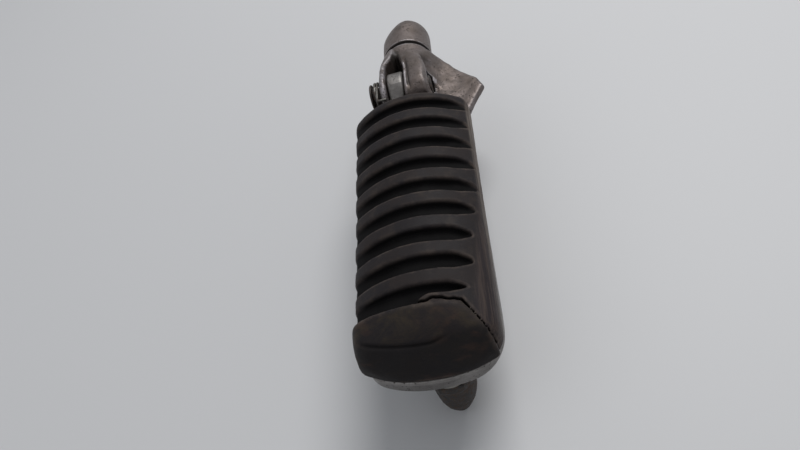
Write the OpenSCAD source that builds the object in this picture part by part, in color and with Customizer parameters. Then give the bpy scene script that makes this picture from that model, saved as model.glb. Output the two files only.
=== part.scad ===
// Folding rider foot peg: a cast bracket with a round spigot, a hinged cast core,
// a ribbed rubber tread bolted on from below, and a bank sensor at the outer end.
// +Y runs along the spigot into the frame of the motorcycle, -Y to the outer end,
// +Z is up in use. The origin is on the spigot's axis, at its shoulder groove.

/* [Tread rubber] */
// Width of the tread
tread_w = 40.6; // [35:0.2:44]
// Length of the tread, along the peg
tread_len = 100.2; // [90:0.1:112]
// Height of the tread's crest above the spigot's axis
crest_z = 12; // [11:0.5:15]
// Radius of the tread's crown
crown_r = 28.5; // [25:0.5:34]
// Thickness of the rubber at the crest
rubber_t = 16; // [14:0.5:18]
// Number of ribs across the tread
rib_n = 9; // [6:1:9]
// Distance from one rib to the next
rib_pitch = 9.5; // [8.5:0.1:9.6]
// Width of the groove between two ribs
groove_w = 4; // [3:0.1:5]
// Depth of the grooves
groove_d = 2.6; // [1.5:0.1:3.2]
// Width of the smooth flank beside the first grooves
flank_w = 1; // [0.8:0.1:4]
// How much the flank widens with each of the outer grooves
flank_step = 1.4; // [0:0.1:2]
// Height of the end lip above the ribs
lip_h = 2; // [1:0.1:4]
// Length of the end lip, along the peg
lip_len = 13.8; // [11:0.1:16]
// Radius of the rounded outer end, seen from above
end_r = 40; // [28:0.5:60]

/* [Core] */
// Height of the core's rim below the rubber
rim_h = 4.6; // [4:0.1:8]
// How far the core's sides stay inside the tread's sides
rim_inset = 0.8; // [0.3:0.1:2]
// Thickness of the core's walls
core_wall = 3; // [2.5:0.1:4]
// Width of the bar that stands up inside the rubber
bar_w = 20; // [19:0.5:26]
// Height of that bar above the rim
bar_h = 4.5; // [3.5:0.1:5.5]
// Width of the hinge tongue
tongue_w = 5.8; // [5:0.1:7]
// Radius of the tongue's rounded end
knuckle_r = 7.2; // [6.8:0.1:8]

/* [Hinge] */
// Distance from the spigot's shoulder to the hinge pin
pivot_reach = 22; // [20:0.5:26]
// Height of the hinge pin above the spigot's axis
pivot_z = 3; // [1:0.5:4]
// Distance from the hinge pin to the tread's inner end
tread_gap = 13; // [12:0.5:18]
// Diameter of the hinge pin
pin_d = 7; // [6:0.5:8.5]
// Diameter of the pin's head
pin_head_d = 10.5; // [10:0.5:12]
// Thickness of the pin's head
pin_head_t = 1.2; // [1.2:0.1:3]
// Radial clearance of the pin in its bores
pin_play = 0.05; // [0.02:0.01:0.1]
// Side clearance between the tongue and each ear
side_play = 0.3; // [0.2:0.05:0.5]
// Diameter of the spring's wire
wire_d = 0.9; // [0.8:0.1:1.4]
// Mean radius of the spring's coil
coil_r = 5.2; // [5:0.1:6]
// Number of turns in the spring's coil
coil_turns = 1.5; // [1.5:1:3.5]

/* [Bracket] */
// Diameter of the spigot
spigot_d = 19; // [18:0.5:22]
// Length of the spigot
spigot_len = 17; // [13:0.5:20]
// Chamfer at the spigot's end
spigot_chamfer = 1.8; // [1:0.1:3]
// Width of the groove at the spigot's shoulder
relief_w = 1.7; // [1:0.1:2.5]
// Depth of the groove at the spigot's shoulder
relief_d = 1.2; // [0.5:0.1:2]
// Diameter of the tapped hole in the spigot's end
tapped_d = 8.5; // [6.8:0.1:10.2]
// Depth of the tapped hole
tapped_depth = 12; // [8:0.5:16]
// Radius of the ears around the hinge pin
ear_r = 9.5; // [8.5:0.1:11]
// Thickness of the thin ear
thin_ear_t = 3; // [2.6:0.1:4.5]
// Thickness of the thick ear
thick_ear_t = 9.2; // [8:0.1:12]
// Offset of the slot's middle from the spigot's axis
slot_x = -3.7; // [-6:0.1:-3]
// Depth of the slot past the hinge pin
slot_reach = 14.5; // [12:0.5:15]
// Reach of the stop wing to the side
wing_w = 27; // [23:0.1:30]
// Height of the wing's top face, from the spigot's axis
wing_z = -2; // [-3:0.1:-1]
// Thickness of the wing
wing_t = 3.4; // [3:0.1:7]
// Slope of the thick arm's top, falling towards the slot
arm_slope = 20; // [10:1:25]
// Radius of the wing's free corner
wing_corner_r = 4; // [2:0.5:8]

/* [Bank sensor] */
// Diameter of the sensor
sensor_d = 12.4; // [9:0.1:13]
// Diameter of the sensor's round tip
sensor_tip_d = 7.4; // [5:0.1:9]
// Length of the sensor below the core
sensor_len = 24.6; // [14:0.1:30]
// Offset of the sensor from the peg's middle
sensor_x = 2.6; // [0:0.1:4]
// Distance from the sensor's axis to the core's outer end
sensor_inset = 6.6; // [5:0.1:8]
// Width across the flats of the sensor's hexagon
sensor_af = 12; // [11:0.5:14]
// Height of the sensor's hexagon
sensor_hex_h = 3; // [2:0.5:6]
// Length of the sensor's threaded stud
sensor_stud = 3; // [2:0.1:4]

/* [Fasteners] */
// Diameter of the tread bolts
bolt_d = 6; // [5:0.5:6]
// Width across the flats of the bolt heads and nuts
bolt_af = 10; // [8:0.5:10]
// Thickness of a bolt head
bolt_head_t = 4; // [3:0.1:4]
// Thickness of a washer
washer_t = 1.2; // [0.8:0.1:1.6]
// Outer diameter of the tread bolt washers
washer_d = 12; // [11:0.5:13]
// Thickness of the steel plate bonded into the rubber
plate_t = 2; // [1.5:0.1:2.5]
// Width of that plate
plate_w = 18; // [16:0.5:20]
// Height of the nuts welded to the plate
nut_t = 3.5; // [3:0.1:4]
// Radial clearance of a bolt in a hole or nut
bolt_play = 0.25; // [0.1:0.05:0.5]

/* [Hidden] */
$fn = 64;
eps = 0.01;
far = 100;                        // reach of a cut that runs right out of a part
seat = 0.05;                      // clearance between faces that are bolted together

// places along the peg
pivot_y = -pivot_reach;
inner_y = pivot_y - tread_gap;            // the tread's inner end
outer_y = inner_y - tread_len;            // the tread's outer end
lip_y = outer_y + lip_len;                // where the end lip starts
rib_w = rib_pitch - groove_w;
core_end_y = outer_y - 0.2;               // the core's outer end
bar_end_gap = 8;                          // from the core's end to the bar's end
stop_gap = 0.3;                           // from the wing's edge to the core
wing_root = 6;                            // from the wing's free edge to its thicker root

// heights
deck_z = crest_z - rubber_t;              // the rubber's underside, on the rim
rim_z = deck_z - rim_h;                   // the core's lowest edge
bar_z = deck_z + bar_h;                   // top of the core's bar
pocket_z = bar_z - core_wall;             // ceiling of the core's pockets
web_z = wing_z + 6;                       // top of the web between wing and arm
plate_z = bar_z + seat;                   // underside of the bonded plate

// places across the peg
slot_w = tongue_w + 2 * side_play;
slot_left = slot_x - slot_w / 2;
slot_right = slot_x + slot_w / 2;
ear_left = slot_left - thin_ear_t;
ear_right = slot_right + thick_ear_t;
tongue_right = slot_right - side_play;
tongue_left = slot_left + side_play;
core_w = tread_w - 2 * rim_inset;

// hinge pin: its head holds the spring on the left, its clip is sunk in the thick ear
pin_bore_r = pin_d / 2 + pin_play;
ring_t = 1;
ring_gap = 0.1;                           // play of the ring in its groove
pin_washer_d = pin_d + 3.6;
pin_end = 1;                              // length of the pin past its ring
spotface_x = ear_right - washer_t - ring_t - pin_end - 2 * seat;
ring_x = spotface_x + washer_t + seat;    // inner face of the retaining ring
pin_end_x = ring_x + ring_t + pin_end;
ring_groove_r = pin_d / 2 - 0.8;

// return spring, round the pin outside the thin ear
wire_play = 0.25;                         // play of a spring leg in its hole
coil_step = wire_d + 0.15;                // from one turn to the next
coil_x0 = ear_left - side_play - wire_d / 2;
coil_x1 = coil_x0 - coil_turns * coil_step;
pin_head_x = coil_x1 - wire_d / 2 - side_play;
hook_y = pivot_y - sqrt(ear_r * ear_r - coil_r * coil_r) - wire_d / 2 - side_play;
spring_hole_z = rim_z + rim_h / 2;        // the spring's hole in the core
spring_seat = 3;                          // depth of that hole

// bank sensor
sensor_y = core_end_y + sensor_inset + (end_r - sqrt(end_r * end_r - sensor_x * sensor_x));
sensor_stud_d = 6;

// pockets under the core; the tread bolts stand in the first and the last
pocket_n = 3;
pocket_first_y = inner_y - core_wall - 2;
pocket_last_y = sensor_y + sensor_d / 2 + core_wall;
pocket_len = (pocket_first_y - pocket_last_y - (pocket_n - 1) * core_wall) / pocket_n;
pocket_y = [for (i = [0:pocket_n - 1])
    pocket_first_y - (i + 1) * pocket_len - i * core_wall];
bolt_y = [for (i = [0, pocket_n - 1]) pocket_y[i] + pocket_len / 2];

function unit(v) = v / norm(v);

// 2D shape in the X-Z plane, from y0 to y1
module along_y(y0, y1)
    translate([0, y1, 0]) rotate([90, 0, 0]) linear_extrude(y1 - y0) children();

// 2D shape in the Y-Z plane, from x0 to x1
module along_x(x0, x1)
    translate([x0, 0, 0]) rotate([90, 0, 90]) linear_extrude(x1 - x0) children();

// round bar along X, centred on the hinge
module hinge_bar(x0, x1, r)
    translate([x0, pivot_y, pivot_z]) rotate([0, 90, 0]) cylinder(h = x1 - x0, r = r);

// regular hexagon across its flats
module hexagon(af) circle(d = af / cos(30), $fn = 6);

// bent round wire along a list of points
module wire(path, d, sides = 8) {
    n = len(path);
    tangent = [for (i = [0:n - 1])
        unit(path[min(i + 1, n - 1)] - path[max(i - 1, 0)])];
    side = [for (i = 0, s = unit(cross(tangent[0], [0.31, 0.2, 0.93])); i < n;
                 i = i + 1,
                 s = i < n ? unit(s - (s * tangent[i]) * tangent[i]) : s) s];
    points = [for (i = [0:n - 1], k = [0:sides - 1])
        let (a = 360 * k / sides, s = unit(side[i] - (side[i] * tangent[i]) * tangent[i]))
        path[i] + d / 2 * (cos(a) * s + sin(a) * cross(tangent[i], s))];
    faces = concat(
        [[for (k = [0:sides - 1]) sides - 1 - k]],
        [[for (k = [0:sides - 1]) (n - 1) * sides + k]],
        [for (i = [0:n - 2], k = [0:sides - 1])
            let (k1 = (k + 1) % sides)
            [i * sides + k, i * sides + k1, (i + 1) * sides + k1, (i + 1) * sides + k]]);
    polyhedron(points, [for (f = faces) [for (j = [len(f) - 1:-1:0]) f[j]]]);
}

// ---------------------------------------------------------------- bracket

// the fork seen from above, with its slot still closed
module fork_plan()
    polygon([[-spigot_d / 2, -relief_w], [ear_left + 0.2, pivot_y + 8],
             [ear_left, pivot_y + 2], [ear_left, pivot_y - ear_r],
             [ear_right, pivot_y - ear_r], [ear_right, pivot_y + 1],
             [spigot_d / 2 - 4.4, -relief_w - 7], [spigot_d / 2 - 3, -relief_w - 3],
             [spigot_d / 2, -relief_w]]);

// the fork seen from the side
module fork_side() {
    translate([pivot_y, pivot_z]) circle(ear_r);
    polygon([[-relief_w, -spigot_d / 2], [-relief_w, spigot_d / 2],
             [pivot_y, pivot_z + ear_r], [pivot_y, pivot_z - ear_r]]);
}

// the slot seen from above: a wedge that opens towards the tread
module slot_plan()
    polygon([[slot_x + 1.2, pivot_y + slot_reach], [slot_x + 0.2, pivot_y + slot_reach],
             [slot_left, pivot_y + knuckle_r + side_play],
             [slot_left, pivot_y - far], [slot_right, pivot_y - far],
             [slot_right, pivot_y + knuckle_r + side_play]]);

// the stop wing seen from above, drawn in from its free edge by inset
module wing_plan(inset = 0) {
    corner = [wing_w - wing_corner_r - inset, pivot_y + 0.5];
    stop_y = inner_y + stop_gap;
    difference() {
        union() {
            polygon([[0, -relief_w], [spigot_d / 2 + 2, -relief_w],
                     [corner[0] + 2.4, corner[1] + wing_corner_r - 0.8],
                     [corner[0] + 3.7, corner[1] - 1.6],
                     [wing_w - inset - 7, stop_y], [0, stop_y]]);
            translate(corner) circle(wing_corner_r);
        }
        translate([-far, stop_y - far]) square([2 * far, far]);
    }
}

// the fork seen along the spigot, with rounded edges
module fork_section() {
    r = 4;
    low = -spigot_d / 2;
    high = pivot_z + ear_r;
    translate([ear_left + r, low]) square([ear_right - ear_left - 2 * r, high - low]);
    translate([ear_left, low + r]) square([ear_right - ear_left, high - low - 2 * r]);
    for (x = [ear_left + r, ear_right - r], z = [low + r, high - r])
        translate([x, z]) circle(r);
}

// what the thick arm's sloping top leaves out
module arm_top()
    intersection() {
        translate([ear_right - 1.6, 0, pivot_z + ear_r]) rotate([0, -arm_slope, 0])
            translate([-far, pivot_y - far, 0]) cube([2 * far, far - pivot_y - relief_w - 3, far]);
        translate([slot_x, -far, 0]) cube([far, 2 * far, far]);
    }

module spigot()
    rotate([-90, 0, 0]) rotate_extrude()
        polygon([[0, -relief_w - 6], [spigot_d / 2, -relief_w - 6],
                 [spigot_d / 2, -relief_w], [spigot_d / 2 - relief_d, -relief_w],
                 [spigot_d / 2 - relief_d, 0], [spigot_d / 2, 0],
                 [spigot_d / 2, spigot_len - spigot_chamfer],
                 [spigot_d / 2 - spigot_chamfer, spigot_len], [0, spigot_len]]);

module mounting_bracket() color("darkgray")
    difference() {
        union() {
            spigot();
            intersection() {
                translate([0, 0, -far]) linear_extrude(2 * far) fork_plan();
                along_x(-far, far) fork_side();
                along_y(-far, far) fork_section();
            }
            translate([0, 0, wing_z - wing_t]) linear_extrude(wing_t) wing_plan();
            // the wing's thicker root, and the webs that join it to the arm and the neck
            translate([0, 0, rim_z + 0.5]) linear_extrude(wing_z - rim_z - 0.6)
                wing_plan(wing_root);
            intersection() {
                translate([0, 0, -far]) linear_extrude(2 * far) wing_plan();
                along_y(pivot_y - ear_r + 1, -relief_w)
                    polygon([[0, wing_z - 1], [0, web_z], [ear_right - 4, web_z],
                             [ear_right + 5, wing_z], [ear_right + 5, wing_z - 1]]);
            }
            along_x(0, spigot_d / 2 - 2.5)
                polygon([[-relief_w - 0.2, wing_z - 1], [-relief_w - 0.2, spigot_d / 2 - 3.5],
                         [-relief_w - 3, spigot_d / 2 - 4], [-relief_w - 14, wing_z],
                         [-relief_w - 14, wing_z - 1]]);
        }
        arm_top();
        translate([0, 0, -far]) linear_extrude(2 * far) slot_plan();
        hinge_bar(-far, far, pin_bore_r);
        // spot face for the pin's washer and ring
        hinge_bar(spotface_x, ear_right + 4, pin_washer_d / 2 + 0.3);
        // tapped hole for the frame bolt
        translate([0, spigot_len + eps, 0]) rotate([90, 0, 0])
            cylinder(h = tapped_depth + eps, d = tapped_d);
    }

// ------------------------------------------------------------------ hinge

module pivot_pin() color("dimgray")
    difference() {
        union() {
            hinge_bar(pin_head_x - pin_head_t, pin_head_x, pin_head_d / 2);
            hinge_bar(pin_head_x, pin_end_x, pin_d / 2);
        }
        translate([ring_x - ring_gap / 2, pivot_y, pivot_z]) rotate([0, 90, 0])
            difference() {
                cylinder(h = ring_t + ring_gap, r = pin_d);
                translate([0, 0, -eps]) cylinder(h = ring_t + 1, r = ring_groove_r);
            }
    }

module pin_washer() color("silver")
    difference() {
        hinge_bar(spotface_x, spotface_x + washer_t, pin_washer_d / 2);
        hinge_bar(spotface_x - 1, spotface_x + washer_t + 1, pin_d / 2 + 0.15);
    }

// open ring that snaps into the pin's groove
module retaining_ring() color("gray")
    translate([ring_x, pivot_y, pivot_z]) rotate([0, 90, 0]) linear_extrude(ring_t)
        difference() {
            circle(d = pin_washer_d - 1.5);
            circle(r = ring_groove_r + 0.05);
            translate([0, -ring_groove_r * 0.7]) square([far, ring_groove_r * 1.4]);
        }

// point of the coil at an angle from +Y towards +Z
function coil_point(x, a) =
    [x, pivot_y + coil_r * cos(a), pivot_z + coil_r * sin(a)];

module return_spring() color("slategray") {
    sweep = 360 * coil_turns;
    steps = 16 * coil_turns;
    top_z = pivot_z + coil_r;
    wire(concat(
        [[slot_left - 0.3, hook_y, top_z], [coil_x0 + 1, hook_y, top_z],
         [coil_x0 + 0.3, hook_y + 0.3, top_z], [coil_x0, hook_y + 1, top_z]],
        [for (i = [0:steps])
            coil_point(coil_x0 + (coil_x1 - coil_x0) * i / steps, 90 - sweep * i / steps)],
        [[coil_x1, pivot_y - 2, pivot_z - coil_r - 0.1],
         [coil_x1, inner_y + 2.5, spring_hole_z + 0.4],
         [coil_x1, inner_y + 1, spring_hole_z],
         [coil_x1, inner_y - spring_seat + 0.5, spring_hole_z]]), wire_d);
}

// ------------------------------------------------------------------- core

// the core seen from above, rounded at the outer end like the tread
module core_plan(w, end_gap = 0, ahead = 0)
    intersection() {
        translate([-w / 2, core_end_y]) square([w, inner_y + ahead - core_end_y]);
        translate([0, core_end_y + end_gap + end_r]) {
            circle(end_r);
            translate([-far, 0]) square([2 * far, far]);
        }
    }

// the tongue seen from the side
module tongue_side() {
    translate([pivot_y, pivot_z]) circle(knuckle_r);
    polygon([[pivot_y, pivot_z + knuckle_r], [pivot_y - 3.2, pivot_z + knuckle_r - 0.4],
             [inner_y + 0.4, bar_z], [inner_y - core_wall, bar_z],
             [inner_y - core_wall, rim_z], [inner_y, rim_z],
             [pivot_y, pivot_z - knuckle_r]]);
}

// pockets in the core's underside, with cross walls between them
module core_pockets() {
    middle_w = bar_w - 2 * core_wall;
    side_w = (core_w - bar_w) / 2 - core_wall;
    for (y = pocket_y) {
        translate([-middle_w / 2, y, rim_z - 1])
            cube([middle_w, pocket_len, pocket_z - rim_z + 1]);
        for (side = [-1, 1])
            translate([side * (bar_w + side_w) / 2 - side_w / 2, y, rim_z - 1])
                cube([side_w, pocket_len, rim_h - core_wall + 1]);
    }
}

module peg_core() color("lightgray")
    difference() {
        union() {
            translate([0, 0, rim_z]) linear_extrude(rim_h) core_plan(core_w);
            translate([0, 0, rim_z]) linear_extrude(rim_h + bar_h)
                core_plan(bar_w, bar_end_gap);
            along_x(tongue_left, tongue_right) tongue_side();
        }
        core_pockets();
        hinge_bar(tongue_left - 1, tongue_right + 1, pin_bore_r);
        for (y = bolt_y)
            translate([0, y, pocket_z - 1]) cylinder(h = far, d = bolt_d + 2 * bolt_play);
        translate([sensor_x, sensor_y, rim_z - 1])
            cylinder(h = sensor_stud + 1.3, d = sensor_stud_d + 2 * seat);
        // hole for the spring's leg
        translate([coil_x1, inner_y + 1, spring_hole_z]) rotate([90, 0, 0])
            cylinder(h = spring_seat + 1, d = wire_d + 2 * wire_play);
    }

// ------------------------------------------------------------------ tread

// the tread's cross-section, with its crown raised by lift
module tread_section(lift = 0, side_in = 0)
    intersection() {
        translate([0, crest_z - crown_r]) circle(crown_r + lift, $fn = 128);
        translate([-tread_w / 2 + side_in, deck_z]) square([tread_w - side_in, far]);
    }

// one groove: open on the left side, running out before the right flank
module groove(i) {
    y1 = inner_y - rib_w - i * rib_pitch + 0.6;
    right = tread_w / 2 - flank_w - flank_step * max(0, i - 4);
    along_y(y1 - groove_w, y1) difference() {
        translate([-far, deck_z + 3]) square([far + right, far]);
        tread_section(-groove_d, groove_d / 2);
    }
}

// the end lip: the raised crown, cut by a sloping top and a steep end
module end_lip()
    intersection() {
        along_y(outer_y, lip_y) tread_section(lip_h);
        translate([0, outer_y + end_r, 0]) cylinder(h = far, r = end_r, center = true, $fn = 128);
        along_x(-far, far)
            polygon([[lip_y + 1, deck_z - 1], [lip_y + 1, crest_z + lip_h],
                     [lip_y - 0.5, crest_z + lip_h], [outer_y + 4.3, crest_z - 5],
                     [outer_y, deck_z], [outer_y, deck_z - 1]]);
    }

module tread_rubber() color("#2c2928")
    difference() {
        union() {
            along_y(lip_y - eps, inner_y) tread_section();
            end_lip();
        }
        for (i = [0:rib_n - 1]) groove(i);
        // room for the core's bar
        translate([0, 0, deck_z - 1]) linear_extrude(bar_h + 1 + seat)
            core_plan(bar_w + 2 * seat, bar_end_gap - seat, 1);
        translate([0, 0, deck_z - 1]) linear_extrude(1 + seat)
            square([2 * far, 4 * far], center = true);
        plate_shape(seat);
        for (y = bolt_y) translate([0, y, plate_z]) nut_shape(seat);
    }

// ------------------------------------------------------ plate and fasteners

module plate_shape(grow = 0)
    translate([-plate_w / 2 - grow, bolt_y[1] - washer_d - grow, plate_z - grow])
        cube([plate_w + 2 * grow, bolt_y[0] - bolt_y[1] + 2 * washer_d + 2 * grow,
              plate_t + 2 * grow]);

module nut_shape(grow = 0)
    linear_extrude(plate_t + nut_t + grow) hexagon(bolt_af + 2 * grow);

module tread_plate() color("dimgray")
    difference() {
        plate_shape();
        for (y = bolt_y) translate([0, y, 0]) cylinder(h = far, d = bolt_d + 2 * bolt_play);
    }

module weld_nuts() color("gray")
    for (y = bolt_y) translate([0, y, plate_z + plate_t])
        difference() {
            linear_extrude(nut_t) hexagon(bolt_af);
            translate([0, 0, -1]) cylinder(h = nut_t + 2, d = bolt_d + 2 * seat);
        }

module tread_bolts() color("silver")
    for (y = bolt_y) translate([0, y, pocket_z - washer_t]) {
        translate([0, 0, -bolt_head_t]) linear_extrude(bolt_head_t) hexagon(bolt_af);
        cylinder(h = washer_t + core_wall + plate_t + nut_t, d = bolt_d);
    }

module bolt_washers() color("lightgray")
    for (y = bolt_y) translate([0, y, pocket_z - washer_t])
        difference() {
            cylinder(h = washer_t, d = washer_d);
            translate([0, 0, -1]) cylinder(h = washer_t + 2, d = bolt_d + 2 * bolt_play);
        }

// ------------------------------------------------------------ bank sensor

module bank_sensor() color("saddlebrown") {
    top_z = rim_z - washer_t;
    tip_z = rim_z - sensor_len;
    translate([sensor_x, sensor_y, 0]) {
        translate([0, 0, top_z - sensor_hex_h]) linear_extrude(sensor_hex_h)
            hexagon(sensor_af);
        translate([0, 0, tip_z + sensor_tip_d / 2])
            cylinder(h = top_z - tip_z - sensor_tip_d / 2 - eps, d1 = sensor_tip_d, d2 = sensor_d);
        translate([0, 0, tip_z + sensor_tip_d / 2]) sphere(d = sensor_tip_d);
        translate([0, 0, top_z - eps])
            cylinder(h = sensor_stud + washer_t, d = sensor_stud_d);
    }
}

module sensor_washer() color("silver")
    translate([sensor_x, sensor_y, rim_z - washer_t])
        difference() {
            cylinder(h = washer_t, d = sensor_d);
            translate([0, 0, -1]) cylinder(h = washer_t + 2, d = sensor_stud_d + 2 * seat);
        }

mounting_bracket();
pivot_pin();
pin_washer();
retaining_ring();
return_spring();
peg_core();
tread_rubber();
tread_plate();
weld_nuts();
tread_bolts();
bolt_washers();
bank_sensor();
sensor_washer();
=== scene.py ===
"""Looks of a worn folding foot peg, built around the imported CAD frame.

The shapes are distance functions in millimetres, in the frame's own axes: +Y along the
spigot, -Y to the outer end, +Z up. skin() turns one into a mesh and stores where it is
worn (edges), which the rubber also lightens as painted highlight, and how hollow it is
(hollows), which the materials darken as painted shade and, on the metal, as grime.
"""

import math

import bpy
import numpy as np
from mathutils import Matrix, Vector


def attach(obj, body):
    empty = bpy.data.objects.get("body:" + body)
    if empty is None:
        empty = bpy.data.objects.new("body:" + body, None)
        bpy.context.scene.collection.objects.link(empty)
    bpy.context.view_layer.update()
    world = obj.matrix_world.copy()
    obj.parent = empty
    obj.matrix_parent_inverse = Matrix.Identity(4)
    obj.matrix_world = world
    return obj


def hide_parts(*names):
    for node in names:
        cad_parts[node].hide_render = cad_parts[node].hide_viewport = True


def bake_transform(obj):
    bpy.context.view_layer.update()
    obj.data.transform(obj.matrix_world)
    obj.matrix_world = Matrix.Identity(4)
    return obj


MM = 0.001
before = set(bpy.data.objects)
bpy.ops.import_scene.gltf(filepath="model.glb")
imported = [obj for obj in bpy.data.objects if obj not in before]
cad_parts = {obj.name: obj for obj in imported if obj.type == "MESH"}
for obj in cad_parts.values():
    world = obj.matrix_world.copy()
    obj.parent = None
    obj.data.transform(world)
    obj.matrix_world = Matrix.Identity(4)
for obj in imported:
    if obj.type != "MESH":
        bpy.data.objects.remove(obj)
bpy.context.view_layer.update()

# ---------------------------------------------------------------- sizes, in mm
# They repeat the CAD source, which this script can't read.

PIVOT_Y, PIVOT_Z = -22.0, 3.0
INNER_Y, OUTER_Y = -35.0, -135.2
CREST_Z, DECK_Z, RIM_Z = 12.0, -4.0, -8.6
CROWN_R, TREAD_HALF = 28.5, 20.3
CROWN_Z = CREST_Z - CROWN_R
END_R = 40.0

RIB_PITCH, GROOVE_N, GROOVE_W, GROOVE_DEPTH = 9.5, 9, 4.9, 2.6
FIRST_GROOVE_Y = INNER_Y - 6.45
GROOVE_ENDS = (19.3, 19.1, 19.2, 19.2, 19.0, 17.6, 15.9, 15.2, 13.4)
PAD_Y, PAD_RISE = -120.8, 2.0

CORE_HALF, CORE_END_Y = 19.5, -135.4
CORE_WALL = 3.0
BAR_HALF, BAR_Z, BAR_END_GAP = 10.0, 0.5, 8.0
POCKET_Z, SIDE_POCKET_Z = -2.5, -7.0
POCKET_YS = (-64.505, -92.01, -119.515)
POCKET_LEN = 24.505
BOLT_YS = (-52.25, -107.26)
PLATE_Z, PLATE_HALF = BAR_Z + 0.05, 9.0
TONGUE_LEFT, TONGUE_RIGHT, KNUCKLE_R = -6.6, -0.8, 7.2

SPIGOT_R, SPIGOT_END, SPIGOT_ROUND = 9.5, 17.0, 6.5
RELIEF_W, RELIEF_DEPTH = 1.7, 1.2
TAPPED_R, TAPPED_DEPTH, THREAD_PITCH = 4.25, 12.0, 1.5
SLOT_LEFT, SLOT_RIGHT, SLOT_APEX_Y = -6.9, -0.5, -7.5
EAR_LEFT, EAR_RIGHT, EAR_R = -9.9, 8.7, 9.5
WING_Z, WING_T, WING_ROOT = -2.0, 3.4, 6.0
STOP_Y = -34.7

PIN_R, PIN_BORE_R, PIN_HEAD_R, PIN_HEAD_T = 3.5, 3.55, 5.25, 1.2
PIN_HEAD_X, SPOTFACE_X = -12.975, 5.4
WASHER_T, RING_T = 1.2, 1.0
RING_X = SPOTFACE_X + WASHER_T + 0.05
PIN_END_X = RING_X + RING_T + 1.0
PIN_WASHER_R, RING_GROOVE_R = 5.3, 2.7

BOLT_R, BOLT_FLATS, BOLT_HEAD_T, BOLT_WASHER_R = 3.0, 10.0, 4.0, 6.0

SENSOR_X, SENSOR_Y, SENSOR_R = 2.6, -128.715, 6.2
SENSOR_TIP_Z, SENSOR_FLATS, SENSOR_HEX_H = -33.2, 12.0, 3.0
SENSOR_NOSE = 17.6          # the rounded length above the sensor's tip
RIDGE_Y, RIDGE_Z = -130.3, 7.3
CRACK_Y = PAD_Y + 0.35
CRACK_PEAK_X, CRACK_BEND_X = 4.6, 11.0
SEAT_PLAY = 0.3             # room round the pin's washer in its spot face
STUD_R = 3.0

WIRE_R, COIL_R, COIL_TURNS = 0.45, 5.2, 1.5
COIL_X0, COIL_X1 = -10.65, -12.225
HOOK_Y = PIVOT_Y - math.sqrt(EAR_R**2 - COIL_R**2) - WIRE_R - 0.3
SPRING_HOLE_Z = -6.3


# ------------------------------------------------------- distance functions


def smooth_max(a, b, k):
    """The larger of two distances, with the edge between them rounded over about k."""
    h = np.maximum(k - np.abs(a - b), 0.0) / k
    return np.maximum(a, b) + h * h * k * 0.25


def smooth_min(a, b, k):
    """The smaller of two distances, with a fillet of about k between them."""
    return -smooth_max(-a, -b, k)


def smoothstep(v, low, high):
    t = np.clip((v - low) / (high - low), 0.0, 1.0)
    return t * t * (3.0 - 2.0 * t)


def slab(v, low, high):
    return np.abs(v - (low + high) / 2) - (high - low) / 2


def slab_in(v, low, high):
    """Positive between the two planes, so that it can be cut away."""
    return -slab(v, low, high)


def polygon(u, v, corners):
    """Signed distance to a closed polygon in a plane."""
    best = np.full(np.broadcast(u, v).shape, np.inf)
    inside = np.zeros(best.shape, bool)
    for (au, av), (bu, bv) in zip(corners, corners[1:] + corners[:1]):
        eu, ev = bu - au, bv - av
        wu, wv = u - au, v - av
        t = np.clip((wu * eu + wv * ev) / (eu * eu + ev * ev), 0.0, 1.0)
        best = np.minimum(best, (wu - eu * t) ** 2 + (wv - ev * t) ** 2)
        crosses = (av > v) != (bv > v)
        rise = np.where(np.abs(ev) > 1e-9, ev, 1e-9)
        inside ^= crosses & (u < au + (v - av) * eu / rise)
    return np.where(inside, -1.0, 1.0) * np.sqrt(best)


def hexagon(u, v, flats):
    """Signed distance to a regular hexagon with two corners on the u axis."""
    half = flats / 2
    across = np.abs(v)
    for degrees in (30, 150):
        a = math.radians(degrees)
        across = np.maximum(across, np.abs(u * math.cos(a) + v * math.sin(a)))
    return across - half


def lumps(x, y, z, size, seed):
    """Smooth random relief from -1 to 1, with lumps of about that size."""
    n = 16
    lattice = np.random.default_rng(seed).uniform(-1, 1, (n, n, n))
    low, share = [], []
    for v in (x, y, z):
        t = np.asarray(v, float) / size
        cell = np.floor(t).astype(int)
        low.append(cell)
        share.append(smoothstep(t - cell, 0.0, 1.0))
    total = 0.0
    for i in (0, 1):
        for j in (0, 1):
            for k in (0, 1):
                weight = 1.0
                for corner, s in zip((i, j, k), share):
                    weight = weight * (s if corner else 1.0 - s)
                total = total + weight * lattice[
                    (low[0] + i) % n, (low[1] + j) % n, (low[2] + k) % n
                ]
    return total


# ----------------------------------------------------------- tread rubber


def end_curve(x, y, end_y):
    """The rounded outer end that the tread and the core share, seen from above."""
    centre_y = end_y + END_R
    return np.where(y < centre_y, np.hypot(x, y - centre_y) - END_R, np.abs(x) - END_R)


def tread_sides(x, y):
    """Distance to the tread's two sides, which draw in a little towards the outer end."""
    along = np.clip((INNER_Y - y) / 95.0, 0.0, 1.0)
    return np.maximum(x - TREAD_HALF - 0.1 + 1.2 * along, -x - TREAD_HALF - 0.8 + 0.8 * along)


def tread_plain(x, y, z):
    """The tread before its grooves are cut."""
    crown = np.hypot(x, z - CROWN_Z) - CROWN_R
    body = smooth_max(crown, tread_sides(x, y), 2.6)
    # the ribbed part stands a little behind the end pad's faces
    slope = -0.573 * (y - PAD_Y) + 0.820 * (z - CREST_Z - 1.2)
    front = -0.919 * (y - OUTER_Y - 1.2) + 0.395 * (z - DECK_Z)
    body = smooth_max(body, smooth_max(slope, front, 3.0), 3.0)
    body = smooth_max(body, end_curve(x, y, OUTER_Y + 1.0), 4.0)
    return smooth_max(body, y - INNER_Y, 2.2)


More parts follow.
